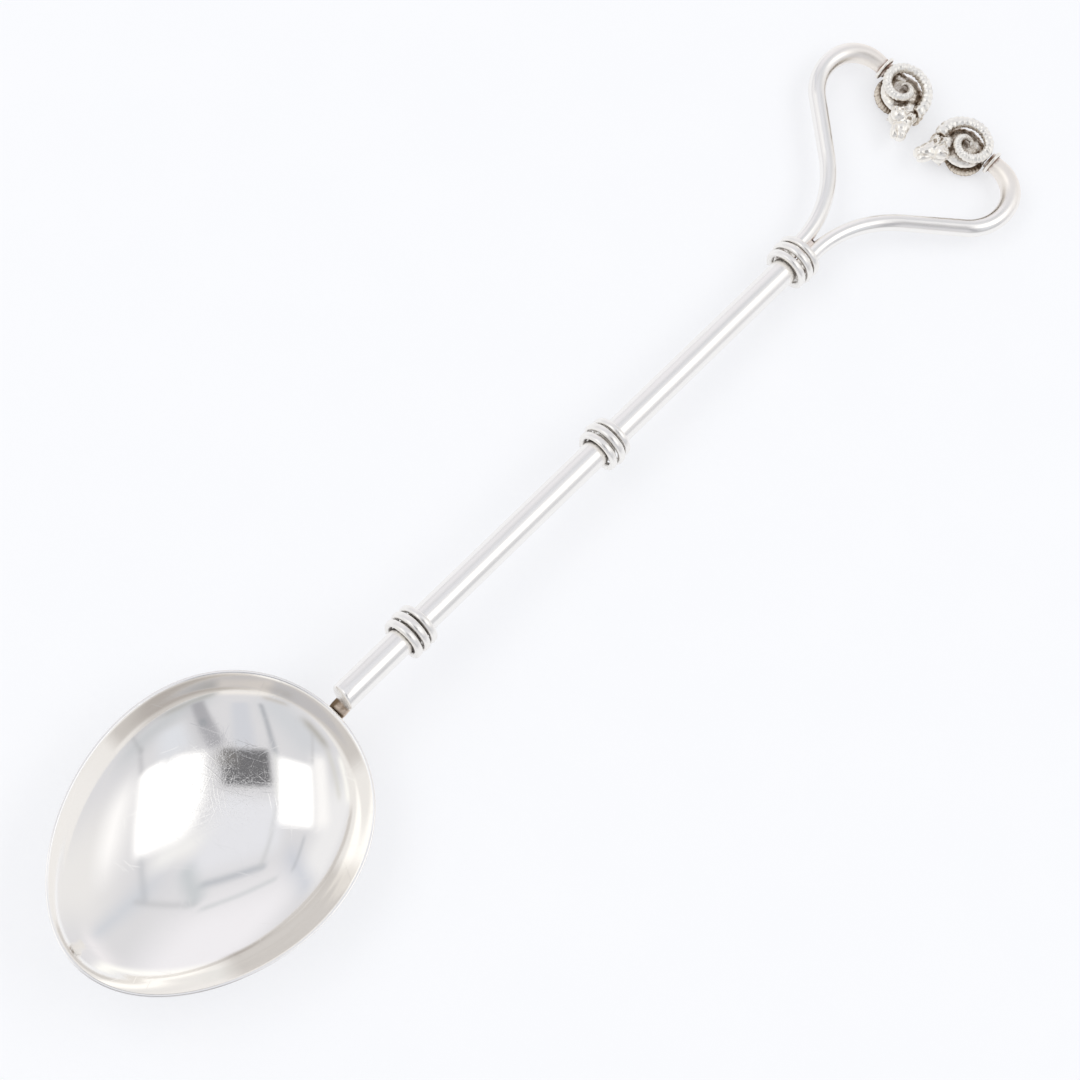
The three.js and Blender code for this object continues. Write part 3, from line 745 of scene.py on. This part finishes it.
def neck(bm, start, end, start_radius, end_radius):
    run = Vector(end) - Vector(start)
    made = bmesh.ops.create_cone(
        bm, cap_ends=True, segments=32, radius1=start_radius, radius2=end_radius, depth=run.length)
    turned = run.to_track_quat("Z", "Y").to_matrix().to_4x4()
    halfway = Matrix.Translation((Vector(start) + Vector(end)) / 2)
    bmesh.ops.transform(bm, matrix=halfway @ turned, verts=made["verts"])


def ear(bm, mirror):
    """It stands out below the horn's root, as a row of flat lumps that widen and narrow again."""
    root = Vector((4.2, -0.55, 1.45 * mirror))
    leaning = Matrix.Rotation(0.6 * mirror, 4, "X")
    for k in range(ear_steps):
        t = k / (ear_steps - 1)
        at = root + Vector((-0.3 * t, -1.2 * t, 0.95 * t * mirror))
        wide = 0.62 * math.sin(math.pi * (0.2 + 0.78 * t)) + 0.1
        lump(bm, Matrix.Translation(at) @ leaning, (wide, 0.34, 0.24), subdivisions=2)


def fused_skin(bm):
    """The lumps run together into one skin, as in the casting: its points, normals and faces."""
    mesh = bpy.data.meshes.new("blocked_head")
    bm.to_mesh(mesh)
    bm.free()
    block = bpy.data.objects.new("blocked_head", mesh)
    bpy.context.scene.collection.objects.link(block)
    fused = block.modifiers.new("fused", "REMESH")
    fused.mode = "VOXEL"
    fused.voxel_size = 0.08
    soft = block.modifiers.new("soft", "SMOOTH")
    soft.factor = 0.6
    soft.iterations = 5
    done = block.evaluated_get(bpy.context.evaluated_depsgraph_get()).data
    points = np.array([v.co[:] for v in done.vertices])
    normals = np.array([v.normal[:] for v in done.vertices])
    faces = [tuple(p.vertices) for p in done.polygons]
    bpy.data.objects.remove(block)
    bpy.data.meshes.remove(mesh)
    return points, normals, faces


bm = bmesh.new()
for middle, halves, degrees in head_lumps.values():
    lump(bm, head_place(middle, degrees), halves)
for middle, halves, degrees in paired_lumps.values():
    for mirror in (1, -1):
        lump(bm, head_place(middle, degrees, mirror), halves)
neck(bm, neck_seat + neck_along * 0.02, neck_seat + neck_along * 3.2, neck_radius, 1.38)
for mirror in (1, -1):
    ear(bm, mirror)
head_points, head_normals, head_faces = fused_skin(bm)
for mirror in (1, -1):
    for (x, y, z), reach, depth in paired_strokes.values():
        away = (head_points - np.array([x, y, z * mirror])) / np.array(reach)
        head_points = head_points + head_normals * (depth * np.exp(-(away ** 2).sum(axis=1)))[:, None]
# Wool: short curls over the poll and the neck, fading out on the face and inside the horns' coils
from_coil = np.hypot(head_points[:, 0], head_points[:, 1])
woolly = np.clip((4.9 - head_points[:, 0]) / 0.9, 0, 1) * np.clip((head_points[:, 1] + 2.0) / 1.2, 0.35, 1)
woolly *= np.clip((from_coil - 2.3) / 0.9, 0.12, 1)
for k, (p, n, w) in enumerate(zip(head_points, head_normals, woolly)):
    curl = (0.42 - noise.voronoi(Vector(p) * curls_per_mm)[0][0]) * curl_height
    skin = noise.noise(Vector(p) * skin_grain_per_mm + Vector((9, 0, 0))) * skin_grain_height
    head_points[k] = p + n * (curl * w + skin)


def head_to_rod(points, side):
    """The head's own frame (muzzle, forehead, across) to the rod's, for the left or right arm."""
    line, heading = arm_walk(side)
    facing = heading - side * neck_bend
    c, s = math.cos(facing), math.sin(facing)
    turn = np.array([[c, -s, 0], [s, c, 0], [0, 0, 1.0]]) @ np.diag([1.0, side, side])
    ahead = np.array([math.cos(heading), math.sin(heading), 0])
    place = np.array([line[-1][0], line[-1][1], 0]) + ahead * solder_gap - turn @ neck_seat
    return heart_to_rod(np.asarray(points) @ turn.T + place)


for name, side in both_sides:
    head = silver_piece(name + "_cast_head", head_to_rod(head_points, side), head_faces, head_silver)
    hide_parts(name + "_ram_head")
    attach(head, "root")

# Horns
# Each head has a pair, cast apart and soldered beside the skull: from the crown they run back,
# down and forward round the cheek, and curl in to a tip. Ribs cross them all the way.
horn_root_past_coil = 1.12
horn_tip_radius = 0.55
horn_root_angle = 28
horn_sweep = 590
horn_root_thickness = 2.1
horn_tip_thickness = 0.55
horns_apart = 0.6
horn_ribs = 54
ribs_crowd_at_root = 0.92
rib_depth = 0.15
horn_ridges = 0.05
horn_roughness = 0.14
rounded_ribs = 1.5
skull_half_width = 1.4
horn_sides = 28
rings_per_rib = 8

horn_silver = worked_silver(
    "horn_silver", bright=(0.96, 0.935, 0.885, 1), brown=(0.26, 0.175, 0.108, 1), reach=0.54, spread=0.2,
    hollow_size=0.0017, clean_rough=0.28, dirty_rough=0.5, pits=1.0, grain=2300.0)
# The lower horns, on the underside of each head, get a darker, warmer copy of the horn silver: painted
# shade, besides the brown patina in their hollows
shaded_lower_horn_silver = worked_silver(
    "shaded_lower_horn_silver", bright=(0.86, 0.79, 0.69, 1), brown=(0.23, 0.165, 0.11, 1), reach=0.74, spread=0.26,
    hollow_size=0.0022, clean_rough=0.4, dirty_rough=0.55, pits=0.6, grain=3000.0)


def horn_point(t, side):
    coil = horn_coil_radius + (horn_tip_radius - horn_coil_radius) * smoothstep(t, 0.25, 0.82)
    radius = coil + horn_root_past_coil * math.exp(-9 * t)
    root = (horns_apart + horn_root_thickness) / 2
    flat = skull_half_width + solder_gap + horn_coil_thickness / 2
    height = side * (flat + (root - flat) * math.exp(-7 * t))
    angle = math.radians(horn_root_angle + horn_sweep * t)
    return np.array([radius * math.cos(angle), radius * math.sin(angle), height])


def horn_thickness(t):
    body = horn_coil_thickness + (horn_root_thickness - horn_coil_thickness) * math.exp(-6 * t)
    return body + (horn_tip_thickness - body) * smoothstep(t, 0.35, 1)


def horn_rings(side, seed):
    """Rings of points along one horn, thin between its ribs and rounded off at its tip."""
    count = horn_ribs * rings_per_rib + 1
    rings = []
    for k in range(count):
        t = (k / (count - 1)) ** ribs_crowd_at_root
        centre = horn_point(t, side)
        run = horn_point(t + 1e-3, side) - horn_point(t - 1e-3, side)
        run /= np.linalg.norm(run)
        across = np.cross(run, [0, 0, 1.0])
        across /= np.linalg.norm(across)
        up = np.cross(across, run)
        rib = abs(math.sin(math.pi * (k % rings_per_rib) / rings_per_rib)) ** 0.7
        rounded = rounded_ribs * rings_per_rib
        tip = ((count - 1 - k) / rounded) ** 0.5 if k > count - rounded else 1.0
        half = horn_thickness(t) / 2 * max(tip, 0.05)
        ring = []
        for a in around(horn_sides):
            c, s = math.cos(a), math.sin(a)
            rough = noise.noise(Vector((k * 0.23, 3 * c + 7 * side, 3 * s + 5 * seed)))
            ridge = horn_ridges * math.cos(3 * a + 0.6)
            swell = 1.03 + ridge - rib_depth * (1 - rib) + horn_roughness * rough
            ring.append(centre + (up * c + across * s) * half * swell)
        rings.append(np.array(ring))
    return rings


for name, side in both_sides:
    for place_name, out_side, finish in (("upper", 1, horn_silver), ("lower", -1, shaded_lower_horn_silver)):
        rings = horn_rings(out_side * side, side)
        ends = np.array([horn_point(t, out_side * side) for t in (0, 1)])
        points = head_to_rod(np.concatenate(rings + [ends]), side)
        faces = ring_faces(len(rings), horn_sides)
        horn = silver_piece("{}_{}_ribbed_horn".format(name, place_name), points, faces, finish)
        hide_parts("{}_head_{}_horn".format(name, place_name))
        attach(horn, "root")

# Table
# A pale sheet of card under the spoon. It is lit through from below as well as from above, so
# that shadows on it stay faint.
table_half_size = 3
lit_from_above = 0.42
card = bpy.data.materials.new("card")
card.use_nodes = True
tree = card.node_tree
fibre = mottled(tree, node(tree, "TexCoord").outputs["Object"], 60.0, 4.0)
card_tone = blend(tree, fibre, (0.965, 0.974, 1.0, 1), (0.985, 0.99, 1.01, 1))
feed(tree, tree.nodes["Principled BSDF"], {
    "Base Color": blend(tree, lit_from_above, (0, 0, 0, 1), card_tone),
    "Emission Color": card_tone,
    "Emission Strength": 1.0 - lit_from_above,
    "Roughness": 0.9,
    "Specular IOR Level": 0.1})
sheet = bpy.data.meshes.new("table_card")
corners = [(x * table_half_size, y * table_half_size, 0) for x, y in ((-1, -1), (1, -1), (1, 1), (-1, 1))]
sheet.from_pydata(corners, [], [(0, 1, 2, 3)])
sheet.materials.append(card)
table = bpy.data.objects.new("table_card", sheet)
bpy.context.scene.collection.objects.link(table)

# Studio
# Two soft boxes stand left and right of the camera, in a tent of pale cloth. The tent is the
# world: plain for soft light, and with its boxes, poles, seams and the camera where metal shows it.
spoon_middle = Vector((0.0, 0.0, 0.008))
box_away = 0.9
box_long_way = Vector((0.81, 0.585, 0.0))
box_radiance = 1.3
# Where each box stands and how much of the sky it covers, in degrees
for label, azimuth, zenith, half_long, half_wide in (
        ("left_soft_box", 131, 35, 26, 14), ("right_soft_box", -46, 36, 25, 13)):
    a, z = math.radians(azimuth), math.radians(zenith)
    towards = Vector((math.sin(z) * math.cos(a), math.sin(z) * math.sin(a), math.cos(z)))
    lamp = bpy.data.lights.new(label, "AREA")
    lamp.shape = "RECTANGLE"
    lamp.size = 2 * box_away * math.tan(math.radians(half_long))
    lamp.size_y = 2 * box_away * math.tan(math.radians(half_wide))
    lamp.energy = box_radiance * math.pi * lamp.size * lamp.size_y
    long_way = (box_long_way - towards * box_long_way.dot(towards)).normalized()
    turned = Matrix((long_way, towards.cross(long_way), towards)).transposed().to_4x4()
    holder = bpy.data.objects.new(label, lamp)
    holder.visible_glossy = False
    holder.matrix_world = Matrix.Translation(spoon_middle + towards * box_away) @ turned
    bpy.context.scene.collection.objects.link(holder)

# A soft-edged oblong on the sky seen flat: the zenith is at 0, 0 and the horizon 1 away
patch, into, out = new_group(
    "soft_patch",
    [("Sky", "Vector", None), ("Middle", "Vector", None), ("Angle", "Float", 0.0), ("Inner", "Vector", None),
     ("Outer", "Vector", None), ("Lean", "Float", 0.0), ("Opacity", "Float", 1.0)],
    [("Mask", "Float")])
moved = node(patch, "VectorMath", {0: into["Sky"], 1: into["Middle"]}, operation="SUBTRACT").outputs[0]
level = split(patch, node(patch, "VectorRotate", {"Vector": moved, "Angle": into["Angle"]},
                          rotation_type="Z_AXIS").outputs[0])
leaning = minus(patch, level["X"], times(patch, level["Y"], into["Lean"]))
inner, outer = split(patch, into["Inner"]), split(patch, into["Outer"])
mask = into["Opacity"]
for axis, off_middle in (("X", leaning), ("Y", level["Y"])):
    folded = maths(patch, "ABSOLUTE", off_middle)
    mask = times(patch, mask, ramp(patch, folded, outer[axis], inner[axis]))
feed(patch, out, {"Mask": mask})

world = bpy.data.worlds.new("tent")
bpy.context.scene.world = world
world.use_nodes = True
tree = world.node_tree
tree.nodes.clear()
way = split(tree, node(tree, "TexCoord").outputs["Generated"])
lift = plus(tree, way["Z"], 1.0001)
sky = node(tree, "CombineXYZ", {
    "X": maths(tree, "DIVIDE", way["X"], lift), "Y": maths(tree, "DIVIDE", way["Y"], lift)}).outputs[0]
sight = node(tree, "LightPath").outputs
# What comes by way of a second reflection is blurred and warmed by the silver it met first
again = ramp(tree, sight["Glossy Depth"], 1.4, 1.6)
left_box_lean = 0.13
box_shine = (1.45, 1.45, 1.44)
tone = (0.75, 0.75, 0.78, 1)
# Middle on the sky, turn in degrees, half length and width, softness, colour, opacity
in_the_tent = (
    ("far upper cloth", (0.57, 0.6), 30, (0.40, 0.25), 0.16, (0.92, 0.91, 0.95), 1),
    ("far right wall", (0.85, 0.12), 80, (0.2, 0.05), 0.14, (0.96, 0.93, 0.96), 1),
    ("far lower cloth", (0.75, -0.42), -35, (0.34, 0.24), 0.2, (0.87, 0.86, 0.86), 1),
    ("spill beside the right box", (0.42, -0.36), 60, (0.16, 0.04), 0.12, (1.25, 1.24, 1.24), 0.8),
    ("upper cloth", (-0.2, 0.66), 12, (0.34, 0.16), 0.1, (0.90, 0.90, 0.92), 1),
    ("spill beside the left box", (-0.35, 0.37), 40, (0.26, 0.07), 0.06, (1.06, 1.05, 1.05), 0.9),
    ("upper fold", (0.11, 0.6), 80, (0.2, 0.03), 0.08, (0.61, 0.64, 0.72), 0.9),
    ("near left wall", (-0.62, -0.12), 78, (0.3, 0.14), 0.12, (0.67, 0.69, 0.73), 0.9),
    ("near lower wall", (0, -0.78), 5, (0.34, 0.1), 0.12, (0.6, 0.62, 0.65), 0.9),
    ("ceiling", (0.12, 0.14), 40, (0.13, 0.17), 0.05, (0.83, 0.84, 0.89), 1),
    ("right fold", (0.56, 0), -3, (0.2, 0.02), 0.09, (0.61, 0.65, 0.72), 0.9),
    ("lower panel", (0.07, -0.55), 75, (0.12, 0.08), 0.06, (0.78, 0.81, 0.87), 0.8),
    ("lower left panel", (-0.32, -0.36), 50, (0.22, 0.07), 0.04, (0.66, 0.68, 0.74), 0.9),
    ("gap over the table, right", (0.8, 0.5), -58, (0.34, 0.04), 0.07, (1.18, 1.18, 1.13), 0.9),
    ("gap over the table, upper left", (-0.62, 0.56), 48, (0.2, 0.03), 0.06, (1.14, 1.13, 1.07), 0.9),
    ("dark edge, left", (-0.74, 0.1), 80, (0.16, 0.03), 0.08, (0.38, 0.36, 0.31), 0.9),
    ("fold, left", (-0.55, 0.42), 50, (0.2, 0.02), 0.05, (0.68, 0.67, 0.62), 0.8),
    ("gap over the table, lower left", (-0.6, -0.62), -43, (0.24, 0.03), 0.05, (0.97, 0.93, 0.89), 0.95),
    ("dark edge, bottom", (-0.2, -0.84), -12, (0.22, 0.02), 0.08, (0.39, 0.39, 0.36), 0.9),
    ("dark edge, bottom right", (0.1, -0.93), 4, (0.2, 0.02), 0.09, (0.44, 0.44, 0.46), 0.8),
    ("dark edge, lower left", (-0.74, -0.36), -60, (0.12, 0.02), 0.05, (0.55, 0.51, 0.46), 0.8),
    ("shade round the pole below", (-0.12, -0.57), 71, (0.26, 0.08), 0.05, (0.60, 0.60, 0.63), 0.5),
    ("pole below", (-0.145, -0.55), 71, (0.25, 0.05), 0.025, (0.42, 0.42, 0.45), 0.95),
    ("clamp on the pole", (-0.125, -0.53), 65, (0.04, 0.02), 0.02, (0.34, 0.36, 0.39), 0.8),
    ("left pole", (-0.435, -0.22), 52, (0.24, 0.016), 0.024, (0.40, 0.42, 0.46), 0.9),
    ("left seam", (-0.58, 0.13), 28, (0.15, 0.008), 0.022, (0.56, 0.56, 0.58), 0.8),
    ("ceiling seam", (0.045, 0.487), 26, (0.09, 0.007), 0.018, (0.49, 0.51, 0.55), 0.9),
    ("ceiling seam, right", (0.245, 0.262), -54, (0.11, 0.01), 0.018, (0.44, 0.47, 0.52), 0.9),
    ("outer seam, top", (0.27, 0.37), -48, (0.13, 0.004), 0.018, (0.51, 0.55, 0.57), 0.9),
    ("outer seam, right", (0.402, 0.125), -65, (0.13, 0.006), 0.018, (0.50, 0.51, 0.53), 0.85),
    ("outer seam, lower right", (0.397, -0.04), 70, (0.1, 0.006), 0.018, (0.50, 0.52, 0.56), 0.85),
    ("lower seam", (0.245, -0.59), 79, (0.12, 0.007), 0.018, (0.50, 0.50, 0.53), 0.9),
    ("lower seam, end", (0.235, -0.78), -85, (0.14, 0.006), 0.016, (0.48, 0.49, 0.51), 0.9),
    ("ceiling corner", (0.32, 0.15), 75, (0.09, 0.02), 0.025, (0.56, 0.60, 0.63), 0.8),
    ("spill under the right box", (0.29, -0.02), -35, (0.075, 0.03), 0.04, (0.97, 0.97, 0.97), 0.9),
    ("left soft box", (-0.197, 0.227), 39.7, (0.2, 0.119), 0.035, box_shine, 1),
    ("right soft box", (0.191, -0.23), 51.7, (0.184, 0.077), 0.035, box_shine, 1),
    ("right soft box, outer side", (0.272, -0.295), 71, (0.176, 0.052), 0.03, box_shine, 1),
    ("lip of the left box", (-0.19, 0.052), 43, (0.15, 0.006), 0.016, (0.80, 0.81, 0.80), 0.85),
    ("lip of the left box, end", (0.0635, 0.2455), 31.3, (0.16, 0.008), 0.018, (0.62, 0.63, 0.65), 0.85),
    ("camera", (-0.093, -0.098), -43.5, (0.14, 0.116), 0.022, (0.17, 0.17, 0.18), 1),
    ("stand under the camera", (-0.05, -0.22), -38, (0.06, 0.05), 0.05, (0.27, 0.26, 0.25), 0.7),
)
for label, middle, degrees, halves, soft, colour, opacity in in_the_tent:
    if "camera" in label:
        opacity = minus(tree, opacity, times(tree, again, opacity))
    laid = node(tree, "Group", {
        "Sky": sky, "Middle": (*middle, 0), "Angle": -math.radians(degrees),
        "Inner": (*(max(half - soft, -soft) for half in halves), 0),
        "Outer": (*(half + soft for half in halves), 0),
        "Lean": left_box_lean if label == "left soft box" else 0.0,
        "Opacity": opacity}, node_tree=patch, label=label)
    tone = blend(tree, laid.outputs[0], tone, (*colour, 1))
tone = blend(tree, times(tree, again, 0.6), tone, (1.06, 1.045, 1.025, 1))
plain = node(tree, "Background", {"Color": (0.98, 0.985, 1.0, 1), "Strength": 0.72}).outputs[0]
shown = node(tree, "Background", {"Color": (0.947, 0.957, 0.99, 1), "Strength": 1.0}).outputs[0]
mirrored = node(tree, "Background", {"Color": tone, "Strength": 1.0}).outputs[0]
seen = node(tree, "MixShader", {0: sight["Is Glossy Ray"], 1: plain, 2: mirrored}).outputs[0]
seen = node(tree, "MixShader", {0: sight["Is Camera Ray"], 1: seen, 2: shown}).outputs[0]
node(tree, "OutputWorld", {"Surface": seen})

# Camera
# It looks down on the spoon from above the bowl's side, turned so that the handle climbs to the
# upper right. A long lens keeps the bowl and the heart at nearly one scale.
tilt_to_bowl, tilt_to_side, roll = 0.38, 0.10, 0.52
aim = np.array([39.82, -3.73, 0.0])
camera_far = 465.0
view = bpy.data.cameras.new("camera")
view.sensor_width = 36.0
view.lens = 100.0
view.clip_start = 0.01
view.clip_end = 10.0
camera = bpy.data.objects.new("camera", view)
facing = np.array([-tilt_to_bowl, -tilt_to_side, math.sqrt(1 - tilt_to_bowl ** 2 - tilt_to_side ** 2)])
level_right = np.cross([0, 0, 1.0], facing)
level_right /= np.linalg.norm(level_right)
level_up = np.cross(facing, level_right)
right = math.cos(roll) * level_right + math.sin(roll) * level_up
up = math.cos(roll) * level_up - math.sin(roll) * level_right
eye, origin = on_table([aim + camera_far * facing, (0, 0, 0)])
axes = [(on_table(v)[0] - origin) * 1000.0 for v in (right, up, facing)]
turned = Matrix([list(v) for v in axes]).transposed().to_4x4()
camera.matrix_world = Matrix.Translation(Vector(eye)) @ turned
bpy.context.scene.collection.objects.link(camera)
bpy.context.scene.camera = camera
bpy.context.scene.view_settings.view_transform = "Standard"
